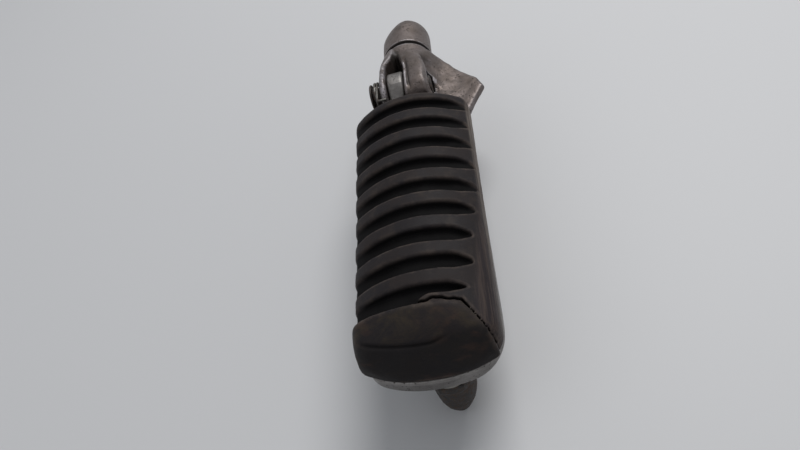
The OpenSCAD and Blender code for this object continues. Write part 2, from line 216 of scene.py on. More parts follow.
def pad_planes(x, y, z):
    """The end pad's sloping top and its steep outer face."""
    slope = -0.573 * (y - PAD_Y) + 0.820 * (z - CREST_Z - PAD_RISE + 0.4)
    slope = slope + 0.006 * (x + 3.0) ** 2 - 0.4 - 1.1 * smoothstep(x, 1.0, 9.0)
    return slope, -0.919 * (y - OUTER_Y) + 0.395 * (z - DECK_Z)


def above_ridge(x, y, z):
    """Distance across the pad's ridge, from its steep face towards its top, in mm."""
    ridge_y = RIDGE_Y + 0.0105 * x * x
    return 0.8 * (y - ridge_y) + 0.6 * (z - RIDGE_Z) - 1.3 * smoothstep(x, 1.0, 8.0)


def pad_crease(x, y, z):
    """The crease along the pad's ridge, from 0 to 1."""
    line = np.exp(-((above_ridge(x, y, z) / 0.55) ** 2))
    return line * smoothstep(-x, -8.0, -2.0) * smoothstep(x, -19.0, -14.0)


def end_pad(x, y, z):
    """The smooth raised pad at the outer end, with its ridge and sloping right edge."""
    crown = np.hypot(x + 1.5, z - CROWN_Z) - CROWN_R - PAD_RISE
    slope, front = pad_planes(x, y, z)
    pad = smooth_max(crown, smooth_max(slope, front, 2.4 + 1.6 * smoothstep(x, 0.0, 8.0)), 4.5)
    pad = smooth_max(pad, tread_sides(x, y), 4.5)
    # the corners are fuller towards the underside
    corner = 5.0 - 3.6 * smoothstep(-z, -6.0, 2.0)
    pad = smooth_max(pad, end_curve(x, y, OUTER_Y), corner)
    outline = polygon(
        x, y, [(-26, PAD_Y), (7, PAD_Y), (10.6, -121.4), (12.8, -123.1), (15.6, -126.6),
               (19.4, -132.6), (19.6, -142), (-26, -142)]
    )
    pad = smooth_max(pad, outline, 1.6)
    return pad + 0.5 * pad_crease(x, y, z)


def groove_span(x, index):
    """Middle and half width of one groove along the peg. It runs out on the right."""
    centre = FIRST_GROOVE_Y - index * RIB_PITCH
    along = GROOVE_ENDS[index] - x
    narrow = np.sqrt(np.clip(along / 5.0, 0.0, 1.0))
    half = GROOVE_W / 2 * narrow + np.minimum(along, 0.0) * 0.6
    if index == GROOVE_N - 1:
        # the last one is narrow on the right and opens into the pad's edge on the left
        opening = smoothstep(-x, -3.5, 4.0)
        half = half - 0.9 + 1.9 * opening
        centre = centre + 0.9 - 1.9 * opening
    return centre, half, narrow


def groove(x, y, z, plain, index):
    """Depth into one groove, positive inside it."""
    centre, half, narrow = groove_span(x, index)
    depth = GROOVE_DEPTH * smoothstep(z, 2.0, 8.0)
    floor = plain + np.maximum(depth, 0.3) * np.clip(narrow * 1.5, 0.0, 1.0)
    return smooth_min(half - np.abs(y - centre), floor, 1.0), y - centre


def crack(x, y):
    """Distance to the jagged split along the end pad's back edge."""
    jag = 0.9 * np.exp(-(((x - CRACK_PEAK_X) / 2.2) ** 2)) + 0.12 * np.sin(x * 2.2)
    past_bend = x - CRACK_BEND_X
    line = np.where(past_bend < 0.0, CRACK_Y + jag, CRACK_Y - past_bend * 1.42)
    width = (0.36 - 0.14 * smoothstep(x, CRACK_BEND_X, 14.0)) * smoothstep(x, -2.5, 1.0)
    width = width * smoothstep(-x, -19.5, -15.5)
    return width - np.abs(y - line) * np.where(past_bend < 0.0, 0.9, 0.58)


def tread(x, y, z):
    plain = tread_plain(x, y, z)
    body = plain
    for index in range(GROOVE_N):
        cut, offset = groove(x, y, z, plain, index)
        # crisp on the rib that follows, rounded on the rib before it
        rounding = 0.85 + 0.35 * np.tanh(offset / 1.2)
        h = np.maximum(rounding - np.abs(body - cut), 0.0) / rounding
        body = np.maximum(body, cut) + h * h * rounding * 0.25
    pad = end_pad(x, y, z)
    body = smooth_min(body, pad, 0.7)
    split = smooth_min(crack(x, y), plain + 2.0, 0.4)
    body = smooth_max(body, split, 0.3)
    # a nick in the right flank
    nick = 0.8 - np.sqrt((x - 18.5) ** 2 * 4 + (y + 79.5) ** 2 * 0.22 + (z - 6.0) ** 2 * 0.2)
    body = smooth_max(body, nick, 0.4)
    body = body + 0.10 * lumps(x, y, z, 7.0, 3) + 0.05 * lumps(x, y, z, 2.2, 5)
    body = smooth_max(body, DECK_Z - z, 0.9)
    # room for the core's bar and for the bonded plate with its nuts
    bar = smooth_max(np.abs(x) - BAR_HALF - 0.05,
                     smooth_max(CORE_END_Y + BAR_END_GAP - y, z - BAR_Z - 0.05, 0.2), 0.2)
    plate = np.maximum(slab(y, BOLT_YS[1] - 12.05, BOLT_YS[0] + 12.05),
                       slab(z, DECK_Z, PLATE_Z + 2.05))
    plate = np.maximum(np.abs(x) - PLATE_HALF - 0.05, plate)
    nuts = np.minimum(*(np.hypot(x, y - v) for v in BOLT_YS)) - BOLT_FLATS / math.sqrt(3)
    nuts = np.maximum(nuts, slab(z, DECK_Z, PLATE_Z + 5.6))
    return smooth_max(body, -np.minimum(bar, np.minimum(plate, nuts)), 0.2)


def tread_masks(x, y, z):
    """Where the tread is groove, right flank, side wall, end pad and the pad's lower face."""
    plain = np.minimum(tread_plain(x, y, z), end_pad(x, y, z))
    ends = np.interp(-y, [38, 77, 88, 100, 110, 122],
                     [19.4, 19.2, 18.2, 16.8, 15.6, 13.6])
    pad = smoothstep(PAD_Y - y - np.maximum(x - 11.5, 0) * 1.5, -0.2, 0.8)
    between = np.zeros(x.shape)
    for index in range(GROOVE_N):
        centre, half, _ = groove_span(x, index)
        between = np.maximum(between, smoothstep(half - np.abs(y - centre), -0.2, 0.5))
    deep = smoothstep(-plain, 0.35, 1.5)
    deep = np.maximum(deep, between * smoothstep(-plain, 0.08, 0.3) * smoothstep(z, -3.0, 0.5))
    return {
        # painted shade: the grooves' insides and the pad's crease, which the rubber paints near
        # black
        "groove": np.maximum(deep * (1 - pad), 0.8 * pad * pad_crease(x, y, z)),
        "flank": smoothstep(x - ends, -0.6, 1.2) * (1 - pad),
        "wall": smoothstep(x, 18.9, 19.9) * (1 - pad),
        "pad": pad,
        # painted shade: the pad's steep lower face, which the rubber darkens
        "face": pad * smoothstep(-above_ridge(x, y, z), -0.6, 1.4),
    }


# ------------------------------------------------------------------- core


def pocket(x, y, z, centre_x, half_w, low_y, ceiling):
    """One of the pockets in the core's underside, with a little draft."""
    draft = 0.06 * (z - RIM_Z)
    plan = smooth_max(np.abs(x - centre_x) - half_w + draft,
                      slab(y, low_y, low_y + POCKET_LEN) + draft, 2.4)
    return smooth_max(plan, z - ceiling, 1.0)


def core(x, y, z):
    # its outer corner on the right is rounder than the one on the left
    corner = 7.5 + 2.0 * np.tanh(x / 8.0)
    plan = smooth_max(np.abs(x) - CORE_HALF, end_curve(x, y, CORE_END_Y), corner)
    plan = smooth_max(plan, y - INNER_Y, 1.6)
    rim = smooth_max(plan, slab(z, RIM_Z, DECK_Z), 0.9)
    bar = smooth_max(np.abs(x) - BAR_HALF, slab(z, RIM_Z + 1, BAR_Z), 0.8)
    bar = smooth_max(bar, slab(y, CORE_END_Y + BAR_END_GAP, INNER_Y), 0.8)
    body = smooth_min(rim, bar, 0.6)
    for low_y in POCKET_YS:
        for centre_x, half_w, ceiling in ((0.0, 7.0, POCKET_Z), (13.25, 3.25, SIDE_POCKET_Z),
                                          (-13.25, 3.25, SIDE_POCKET_Z)):
            hole = pocket(x, y, z, centre_x, half_w, low_y, ceiling)
            body = smooth_max(body, -hole, 0.9)
    knuckle = np.hypot(y - PIVOT_Y, z - PIVOT_Z) - KNUCKLE_R
    web = polygon(
        y, z, [(PIVOT_Y, PIVOT_Z + KNUCKLE_R), (PIVOT_Y - 3.2, PIVOT_Z + KNUCKLE_R - 0.4),
               (INNER_Y + 0.4, BAR_Z), (INNER_Y - CORE_WALL, BAR_Z),
               (INNER_Y - CORE_WALL, RIM_Z), (INNER_Y, RIM_Z), (PIVOT_Y, PIVOT_Z - KNUCKLE_R)]
    )
    tongue = smooth_max(smooth_min(knuckle, web, 0.5), slab(x, TONGUE_LEFT, TONGUE_RIGHT), 1.0)
    body = smooth_min(body, tongue, 1.2)
    body = body + 0.06 * lumps(x, y, z, 5.0, 11)
    body = smooth_max(body, PIN_BORE_R - np.hypot(y - PIVOT_Y, z - PIVOT_Z), 0.3)
    for bolt_y in BOLT_YS:
        body = smooth_max(body, BOLT_R + 0.25 - np.hypot(x, y - bolt_y), 0.3)
    stud = np.maximum(np.hypot(x - SENSOR_X, y - SENSOR_Y) - STUD_R - 0.05, z - RIM_Z - 3.3)
    leg = np.maximum(np.hypot(x - COIL_X1, z - SPRING_HOLE_Z) - 0.7, INNER_Y - 3.0 - y)
    return smooth_max(body, -np.minimum(stud, leg), 0.3)


# ---------------------------------------------------------------- bracket


def arm_top(x, y, z):
    """The thick arm's ridge: it falls to the slot on one side and to the wing on the other."""
    left = (z - 9.26 - 0.36 * x + 0.020 * y) * 0.94
    right = (z - 9.3 + 0.62 * x + 0.373 * y) * 0.81
    ridge = smooth_max(left, right, 3.0)
    # a narrow strip along the slot, set off by a shallow valley
    valley_x = 0.6 + 0.06 * (-14.0 - y) + 0.10 * np.maximum(-26.0 - y, 0.0) ** 1.5
    valley = np.exp(-(((x - valley_x) / 0.75) ** 2)) * smoothstep(-y, 10.0, 15.0)
    # left of the slot it leaves the thin ear as it is
    return smooth_min(ridge + 0.9 * valley, x + 3.7, 2.0)


def stop_wing(x, y, z):
    """The stop wing, with its thicker root and the web up to the arm."""
    plan = polygon(x, y, [(-2, -RELIEF_W), (11.2, -RELIEF_W), (14.4, -5.2), (18.0, -9.4),
                          (24.9, -17.2), (26.9, -22.4), (20.3, STOP_Y), (-2, STOP_Y)])
    # dished a little inside its free edge
    dish = 0.45 * smoothstep(-plan, 2.5, 7.0)
    wing = smooth_max(plan, slab(z, WING_Z - WING_T, WING_Z - dish), 1.6)
    root = smooth_max(plan + WING_ROOT, slab(z, RIM_Z + 0.5, WING_Z - 1.0), 1.6)
    web = smooth_max(((x - 4.7) * 6.0 + (z - 4.0) * 9.0) / 10.8, z - 4.0, 2.5)
    web = smooth_max(web, smooth_max(plan, slab(y, -30.5, -RELIEF_W), 1.5), 2.0)
    web = smooth_max(web, -3.0 - z, 0.5)
    return smooth_min(smooth_min(wing, root, 2.0), smooth_max(web, -x, 1.0), 3.0)


def spigot(x, y, z):
    """The round spigot with a worn, rounded end, its shoulder groove and tapped hole."""
    rho = np.hypot(x, z)
    past = np.clip((y - SPIGOT_END + SPIGOT_ROUND) / SPIGOT_ROUND, 0.0, 1.2)
    body = smooth_max(rho - SPIGOT_R + 1.9 * past**2.2, slab(y, -6.0, SPIGOT_END), 1.6)
    flat = -0.55 * x + 0.45 * (y - 8.0) + 0.70 * z - 10.1
    body = smooth_max(body, flat, 3.0) + 0.12 * lumps(x, y, z, 5.0, 23)
    turn = (y / THREAD_PITCH + np.arctan2(z, x) / (2 * math.pi)) % 1.0
    hole = TAPPED_R + 0.55 * np.abs(turn - 0.5) - 0.15 - rho
    hole = np.maximum(hole, TAPPED_R + 1.0 + y - SPIGOT_END - rho)
    return smooth_max(body, np.minimum(hole, y - SPIGOT_END + TAPPED_DEPTH), 0.25)


def bracket(x, y, z):
    rho = np.hypot(x, z)
    # neck and fork
    plan = polygon(x, y, [(-SPIGOT_R, -RELIEF_W), (EAR_LEFT + 0.2, -14), (EAR_LEFT, -20),
                          (EAR_LEFT, PIVOT_Y - EAR_R), (EAR_RIGHT, PIVOT_Y - EAR_R),
                          (EAR_RIGHT, -21), (6.2, -9.5), (7.2, -5.2), (SPIGOT_R, -RELIEF_W)])
    side = polygon(y, z, [(-RELIEF_W, -SPIGOT_R), (-RELIEF_W, SPIGOT_R),
                          (PIVOT_Y, PIVOT_Z + EAR_R), (PIVOT_Y, PIVOT_Z - EAR_R)])
    side = np.minimum(side, np.hypot(y - PIVOT_Y, z - PIVOT_Z) - EAR_R)
    section = smooth_max(slab(x, EAR_LEFT, EAR_RIGHT), slab(z, -9.5, 12.5), 4.5)
    fork = smooth_max(smooth_max(plan, side, 2.0), section, 2.0)
    # the collar behind the groove blends out of the round spigot
    collar = smooth_max(rho - SPIGOT_R, slab(y, -8.0, -RELIEF_W), 1.4)
    widest = rho - SPIGOT_R - 0.42 * (-RELIEF_W - y)
    fork = smooth_min(smooth_max(fork, widest, 2.5), collar, 2.0)
    fork = smooth_max(fork, arm_top(x, y, z), 1.4)
    body = smooth_min(fork, stop_wing(x, y, z), 4.5)
    body = body + 0.16 * lumps(x, y, z, 6.0, 21) + 0.07 * lumps(x, y, z, 2.0, 22)
    body = smooth_max(body, STOP_Y - y, 0.8)
    body = smooth_min(smooth_max(body, y + RELIEF_W, 0.8), spigot(x, y, z), 0.3)
    relief = smooth_min(-slab(y, -RELIEF_W, 0.0), rho - SPIGOT_R + RELIEF_DEPTH, 0.5)
    body = smooth_max(body, relief, 0.5)
    # slot, pin bore and the spot face in the thick ear
    slot = polygon(x, y, [(-2.5, SLOT_APEX_Y), (-3.5, SLOT_APEX_Y), (SLOT_LEFT, -14.5),
                          (SLOT_LEFT, -80), (SLOT_RIGHT, -80), (SLOT_RIGHT, -14.5)])
    body = smooth_max(body, -slot, 1.2)
    from_pivot = around_pivot(y, z)
    body = smooth_max(body, PIN_BORE_R - from_pivot, 0.4)
    seat_r = PIN_WASHER_R + SEAT_PLAY
    seat = np.minimum(seat_r - from_pivot, slab_in(x, SPOTFACE_X, EAR_RIGHT + SEAT_PLAY))
    return smooth_max(body, seat, 0.4)


# ------------------------------------------------------- pins and fasteners


def around_pivot(y, z):
    return np.hypot(y - PIVOT_Y, z - PIVOT_Z)


def pivot_pin(x, y, z):
    rho = around_pivot(y, z)
    dome = 0.35 * (rho / PIN_HEAD_R) ** 2
    head = smooth_max(rho - PIN_HEAD_R, slab(x, PIN_HEAD_X - PIN_HEAD_T + dome, PIN_HEAD_X), 0.7)
    shaft = smooth_max(rho - PIN_R, slab(x, PIN_HEAD_X - 0.5, PIN_END_X), 1.0)
    body = smooth_min(head, shaft, 0.3)
    neck = smooth_min(RING_T / 2 + 0.05 - np.abs(x - RING_X - RING_T / 2),
                      rho - RING_GROOVE_R, 0.2)
    return smooth_max(body, neck, 0.2)


def pin_washer(x, y, z):
    rho = around_pivot(y, z)
    ring = smooth_max(slab(rho, PIN_R + 0.15, PIN_WASHER_R),
                      slab(x, SPOTFACE_X + 0.02, SPOTFACE_X + WASHER_T), 0.4)
    return ring


def retaining_ring(x, y, z):
    rho = around_pivot(y, z)
    ring = smooth_max(slab(rho, RING_GROOVE_R + 0.05, PIN_WASHER_R - 0.75),
                      slab(x, RING_X, RING_X + RING_T), 0.4)
    gap = np.maximum(PIVOT_Y - y, np.abs(z - PIVOT_Z) - RING_GROOVE_R * 0.7)
    return smooth_max(ring, -gap, 0.4)


def tread_bolts(x, y, z):
    head_top = POCKET_Z - WASHER_T
    rho = np.minimum(*(np.hypot(x, y - v) for v in BOLT_YS))
    flats = np.minimum(*(hexagon(x, y - v, BOLT_FLATS) for v in BOLT_YS))
    head = smooth_max(flats, slab(z, head_top - BOLT_HEAD_T, head_top), 0.4)
    # the corners are turned off, and the face is hollowed a little
    crown = (rho - 4.9 - (z - head_top + BOLT_HEAD_T) * 1.7) * 0.5
    head = smooth_max(head, crown, 0.5)
    hollow = smooth_min(2.9 - rho, head_top - BOLT_HEAD_T + 0.5 - z, 0.8)
    head = smooth_max(head, hollow, 0.5)
    shaft = smooth_max(rho - BOLT_R, slab(z, head_top - 0.5, head_top + 9.7), 0.8)
    return smooth_min(head, shaft, 0.4)


def bolt_washers(x, y, z):
    rho = np.minimum(*(np.hypot(x, y - v) for v in BOLT_YS))
    return smooth_max(slab(rho, BOLT_R + 0.25, BOLT_WASHER_R),
                      slab(z, POCKET_Z - WASHER_T + 0.03, POCKET_Z), 0.4)


def sensor_washer(x, y, z):
    rho = np.hypot(x - SENSOR_X, y - SENSOR_Y)
    return smooth_max(slab(rho, STUD_R + 0.05, SENSOR_R), slab(z, RIM_Z - WASHER_T, RIM_Z), 0.4)


def bank_sensor(x, y, z):
    u, v = x - SENSOR_X, y - SENSOR_Y
    rho = np.hypot(u, v)
    top = RIM_Z - WASHER_T
    nut = smooth_max(hexagon(u, v, SENSOR_FLATS), slab(z, top - SENSOR_HEX_H, top), 0.6)
    nut = smooth_max(nut, (rho - 6.6 + (top - SENSOR_HEX_H - z) * 1.6) * 0.53, 0.5)
    # a long worn nose, scraped over to one side by the road
    below = np.minimum(z - SENSOR_TIP_Z - SENSOR_NOSE, 0.0)
    lean = 1.3 * smoothstep(-below, 2.0, SENSOR_NOSE)
    barrel = np.hypot(np.hypot(u + lean, v), below * SENSOR_R / SENSOR_NOSE) - SENSOR_R
    barrel = smooth_max(barrel, z - top + 1.0, 0.6)
    barrel = barrel + 0.13 * lumps(x, y, z, 2.6, 31) + 0.05 * lumps(x, y, z, 1.1, 32)
    stud = smooth_max(rho - STUD_R, slab(z, top - 0.5, RIM_Z + 3.0), 0.5)
    return smooth_min(smooth_min(nut, barrel, 0.8), stud, 0.3)


# ------------------------------------------------------------------ meshes


def crossings(values):
    """Surface-net vertices of a grid of distances, in grid steps, and their quads."""
    inside = values < 0
    cells = tuple(n - 1 for n in values.shape)
    total = np.zeros(cells + (3,))
    count = np.zeros(cells)
    strips = []
    for axis in range(3):
        low = [slice(None)] * 3
        high = [slice(None)] * 3
        low[axis], high[axis] = slice(None, -1), slice(1, None)
        low, high = tuple(low), tuple(high)
        edges = np.argwhere(inside[low] != inside[high])
        a = values[low][tuple(edges.T)]
        b = values[high][tuple(edges.T)]
        point = edges.astype(float)
        point[:, axis] += a / (a - b)
        first, second = [k for k in range(3) if k != axis]
        around = []
        for di, dj in ((0, 0), (-1, 0), (-1, -1), (0, -1)):
            cell = edges.copy()
            cell[:, first] += di
            cell[:, second] += dj
            around.append(cell)
            np.add.at(total, tuple(cell.T), point)
            np.add.at(count, tuple(cell.T), 1)
        flip = (a < 0) == (axis == 1)
        strips.append((around, flip))
    used = count > 0
    number = np.full(cells, -1)
    number[used] = np.arange(used.sum())
    quads = []
    for around, flip in strips:
        quad = np.stack([number[tuple(c.T)] for c in around], 1)
        quad[flip] = quad[flip][:, ::-1]
        quads.append(quad)
    return total[used] / count[used][:, None], np.concatenate(quads)


def slope_of(shape, points, reach=0.05):
    steps = np.eye(3) * reach
    return np.stack([
        shape(*(points + s).T) - shape(*(points - s).T) for s in steps
    ], 1) / (2 * reach)


def skin(name, shape, low, high, step, masks=None, edge=0.9, hollow=2.0):
    """A mesh object on the zero surface of shape, inside a box in mm."""
    axes = [np.arange(a, b + step, step) for a, b in zip(low, high)]
    grid = np.meshgrid(*axes, indexing="ij", sparse=True)
    values = np.ascontiguousarray(np.broadcast_to(shape(*grid), [len(a) for a in axes]))
    at, quads = crossings(values)
    points = np.array(low) + at * step
    for _ in range(3):
        slope = slope_of(shape, points)
        size = np.maximum((slope**2).sum(1), 0.2)
        move = -shape(*points.T) / size
        points += slope * np.clip(move, -step, step)[:, None]
    slope = slope_of(shape, points)
    normal = slope / np.maximum(np.linalg.norm(slope, axis=1), 1e-6)[:, None]
    attributes = {
        "wear": 1 + shape(*(points - normal * edge).T) / edge,
        # how enclosed each point is, which the materials darken as painted shade and, on the
        # metal, grime
        "hollow": 1 - shape(*(points + normal * hollow).T) / hollow,
    }
    if masks:
        attributes.update(masks(*points.T))
    mesh = bpy.data.meshes.new(name)
    mesh.vertices.add(len(points))
    mesh.vertices.foreach_set("co", (points * MM).astype(np.float32).ravel())
    mesh.loops.add(quads.size)
    mesh.loops.foreach_set("vertex_index", quads.astype(np.int32).ravel())
    mesh.polygons.add(len(quads))
    mesh.polygons.foreach_set("loop_start", np.arange(0, quads.size, 4, dtype=np.int32))
    mesh.update(calc_edges=True)
    mesh.validate()
    mesh.polygons.foreach_set("use_smooth", np.ones(len(mesh.polygons), bool))
    for key, v in attributes.items():
        made = mesh.attributes.new(key, "FLOAT", "POINT")
        made.data.foreach_set("value", np.clip(v, 0, 1).astype(np.float32))
    piece = bpy.data.objects.new(name, mesh)
    bpy.context.scene.collection.objects.link(piece)
    return piece


def smooth_path(points, per_leg):
    """Catmull-Rom curve through a list of points."""
    p = np.array([points[0], *points, points[-1]], float)
    out = []
    for i in range(1, len(p) - 2):
        for t in np.arange(per_leg) / per_leg:
            a, b, c, d = p[i - 1:i + 3]
            out.append(0.5 * (2 * b + (c - a) * t + (2 * a - 5 * b + 4 * c - d) * t**2
                              + (3 * b - a - 3 * c + d) * t**3))
    return np.array(out + [p[-2]])


def tube(name, path, radius, sides=14):
    """Round wire along a path, with slightly rounded ends."""
    n = len(path)
    tangent = np.gradient(path, axis=0)
    tangent /= np.linalg.norm(tangent, axis=1)[:, None]
    across = np.cross(tangent[0], (0.31, 0.2, 0.93))
    rings = []
    for i in range(n):
        across = across - tangent[i] * (across @ tangent[i])
        across /= np.linalg.norm(across)
        other = np.cross(tangent[i], across)
        near_end = min(i, n - 1 - i)
        r = radius * (0.72 if near_end == 0 else 1.0)
        turn = 2 * math.pi * np.arange(sides) / sides
        rings.append(path[i] + r * (np.cos(turn)[:, None] * across
                                    + np.sin(turn)[:, None] * other))
    verts = np.concatenate(rings) * MM
    faces = [tuple(range(sides))[::-1], tuple((n - 1) * sides + k for k in range(sides))]
    for i in range(n - 1):
        for k in range(sides):
            k1 = (k + 1) % sides
            faces.append((i * sides + k, i * sides + k1, (i + 1) * sides + k1,
                          (i + 1) * sides + k))
    mesh = bpy.data.meshes.new(name)
    mesh.from_pydata(verts.tolist(), [], faces)
    mesh.polygons.foreach_set("use_smooth", np.ones(len(mesh.polygons), bool))
    mesh.update()
    piece = bpy.data.objects.new(name, mesh)
    bpy.context.scene.collection.objects.link(piece)
    return piece


def spring_path():
    """The hook across the thin ear's front, the coil round the pin, and the core's leg."""
    top = PIVOT_Z + COIL_R
    hook = [(SLOT_LEFT - 0.3, HOOK_Y, top), (COIL_X0 + 1, HOOK_Y, top),
            (COIL_X0 + 0.3, HOOK_Y + 0.3, top), (COIL_X0, HOOK_Y + 1, top)]
    steps = int(16 * COIL_TURNS)
    coil = []
    for i in range(steps + 1):
        a = math.radians(90 - 360 * COIL_TURNS * i / steps)
        coil.append((COIL_X0 + (COIL_X1 - COIL_X0) * i / steps,
                     PIVOT_Y + COIL_R * math.cos(a), PIVOT_Z + COIL_R * math.sin(a)))
    leg = [(COIL_X1, PIVOT_Y - 2, PIVOT_Z - COIL_R - 0.1),
           (COIL_X1, INNER_Y + 2.5, SPRING_HOLE_Z + 0.4), (COIL_X1, INNER_Y + 1, SPRING_HOLE_Z),
           (COIL_X1, INNER_Y - 2.5, SPRING_HOLE_Z)]
    return smooth_path(hook + coil + leg, 4)


# --------------------------------------------------------------- materials


def srgb(r, g, b):
    """A colour as it looks on screen, 0 to 255, as the shader's linear colour."""
    out = []
    for v in (r / 255, g / 255, b / 255):
        out.append(v / 12.92 if v <= 0.04045 else ((v + 0.055) / 1.055) ** 2.4)
    return (*out, 1.0)


class Finish:
    """A material's nodes. Each call adds one and returns its output."""

    def __init__(self, name):
        self.material = bpy.data.materials.new(name)
        self.material.use_nodes = True
        self.tree = self.material.node_tree
        self.tree.nodes.clear()
        self.shader = self.tree.nodes.new("ShaderNodeBsdfPrincipled")
        out = self.tree.nodes.new("ShaderNodeOutputMaterial")
        self.tree.links.new(self.shader.outputs[0], out.inputs[0])
        self.place = self.tree.nodes.new("ShaderNodeTexCoord").outputs["Object"]

    def put(self, socket, value):
        if isinstance(value, bpy.types.NodeSocket):
            self.tree.links.new(value, socket)
        else:
            socket.default_value = value

    def set(self, **values):
        for key, value in values.items():
            self.put(self.shader.inputs[key.replace("_", " ")], value)

    def scaled(self, size, stretch, shift):
        """Object coordinates in lumps of that size in mm, stretched along each axis."""
        node = self.tree.nodes.new("ShaderNodeMapping")
        self.tree.links.new(self.place, node.inputs["Vector"])
        node.inputs["Scale"].default_value = [1 / (size * MM * s) for s in stretch]
        node.inputs["Location"].default_value = (shift, shift * 1.7, shift * 2.3)
        return node.outputs[0]

    def noise(self, size, detail=4.0, rough=0.55, stretch=(1, 1, 1), shift=0.0, bend=0.0):
        node = self.tree.nodes.new("ShaderNodeTexNoise")
        self.tree.links.new(self.scaled(size, stretch, shift), node.inputs["Vector"])
        node.inputs["Scale"].default_value = 1.0
        node.inputs["Detail"].default_value = detail
        node.inputs["Roughness"].default_value = rough
        node.inputs["Distortion"].default_value = bend
        return node.outputs["Fac"]

    def cells(self, size, stretch=(1, 1, 1), shift=0.0):
        node = self.tree.nodes.new("ShaderNodeTexVoronoi")
        self.tree.links.new(self.scaled(size, stretch, shift), node.inputs["Vector"])
        node.inputs["Scale"].default_value = 1.0
        return node.outputs["Distance"]

    def mask(self, name):
        node = self.tree.nodes.new("ShaderNodeAttribute")
        node.attribute_name = name
        return node.outputs["Fac"]

    def ramp(self, value, low, high, start=0.0, end=1.0):
        """Smooth step of a value between low and high, from start to end."""
        node = self.tree.nodes.new("ShaderNodeMapRange")
        node.interpolation_type = "SMOOTHSTEP"
        for key, v in (("Value", value), ("From Min", low), ("From Max", high),
                       ("To Min", start), ("To Max", end)):
            self.put(node.inputs[key], v)
        return node.outputs["Result"]

    def math(self, how, a, b):
        node = self.tree.nodes.new("ShaderNodeMath")
        node.operation = how
        self.put(node.inputs[0], a)
        self.put(node.inputs[1], b)
        return node.outputs[0]

    def times(self, a, b):
        return self.math("MULTIPLY", a, b)

    def plus(self, a, b):
        return self.math("ADD", a, b)

    def most(self, a, b):
        return self.math("MAXIMUM", a, b)

    def mix(self, share, a, b):
        node = self.tree.nodes.new("ShaderNodeMix")
        node.data_type = "RGBA"
        self.put(node.inputs["Factor"], share)
        self.put(node.inputs[6], a)
        self.put(node.inputs[7], b)
        return node.outputs[2]

    def bump(self, height, depth, strength=1.0, under=None):
        """Relief of that depth in mm."""
        node = self.tree.nodes.new("ShaderNodeBump")
        node.inputs["Strength"].default_value = strength
        node.inputs["Distance"].default_value = depth * MM
        self.tree.links.new(height, node.inputs["Height"])
        if under is not None:
            self.tree.links.new(under, node.inputs["Normal"])
        return node.outputs[0]


def rubber():
    f = Finish("tread_rubber")
    groove, flank, pad = f.mask("groove"), f.mask("flank"), f.mask("pad")
    cloud = f.noise(11, 5, 0.6)
    dust = f.noise(4.5, 6, 0.65, shift=3)
    fine = f.noise(0.5, 3, 0.6, shift=5)
    colour = f.mix(f.ramp(cloud, 0.38, 0.66), srgb(31, 28, 30), srgb(39, 34, 34))
    colour = f.mix(f.times(f.ramp(dust, 0.5, 0.72), 0.5), colour, srgb(56, 49, 45))
    # brown and yellowish scuffs on the end pad, whose lower face gets painted shade
    scuff = f.noise(7, 6, 0.7, stretch=(1.6, 1, 1), shift=9, bend=0.6)
    colour = f.mix(f.times(f.times(pad, f.ramp(scuff, 0.44, 0.7)), 0.7), colour, srgb(58, 50, 40))
    # painted shade on the pad's lower face
    colour = f.mix(f.times(f.mask("face"), 0.8), colour, srgb(24, 22, 23))
    brown = f.ramp(f.noise(5, 5, 0.6, stretch=(2, 1, 1), shift=17), 0.52, 0.68)
    colour = f.mix(f.times(f.times(pad, brown), 0.35), colour, srgb(66, 48, 40))
    # streaks along the right flank, and its side wall, rubbed and lighter with a painted
    # highlight
    streak = f.noise(0.9, 4, 0.6, stretch=(1, 22, 1), shift=12)
    flank_colour = f.mix(f.ramp(streak, 0.35, 0.68), srgb(40, 35, 38), srgb(72, 62, 58))
    colour = f.mix(f.times(flank, 0.8), colour, flank_colour)
    wall_rub_and_highlight_colour = f.mix(f.ramp(streak, 0.35, 0.66), srgb(72, 62, 58), srgb(120, 112, 104))
    # the side wall: rubbed and dusty, with a painted highlight
    colour = f.mix(f.times(f.mask("wall"), 0.9), colour, wall_rub_and_highlight_colour)
    # rubbed edges, lightened as wear and as a painted highlight
    rub_and_highlight = f.times(f.ramp(f.mask("wear"), 0.10, 0.5), f.ramp(dust, 0.36, 0.62))
    colour = f.mix(f.times(rub_and_highlight, 0.5), colour, srgb(84, 74, 68))
    # painted shade: the grooves' insides and the pad's crease are painted near black
    colour = f.mix(groove, colour, srgb(7, 6, 7))
    # painted shade: the hollows are darkened towards black
    colour = f.mix(f.ramp(f.mask("hollow"), 0.4, 0.9, 0, 0.7), colour, srgb(8, 7, 7))
    rough = f.plus(f.ramp(cloud, 0.3, 0.7, 0.52, 0.66), f.times(groove, 0.25))
    scratch = f.noise(0.35, 2, 0.5, stretch=(9, 1, 1), shift=15, bend=0.4)
    normal = f.bump(fine, 0.10, 0.5)
    normal = f.bump(f.ramp(scratch, 0.60, 0.72), 0.08, 0.35, normal)
    normal = f.bump(f.times(streak, flank), 0.25, 0.5, normal)
    f.set(Base_Color=colour, Roughness=rough, Normal=normal)
    f.set(Specular_IOR_Level=0.14)
    return f.material


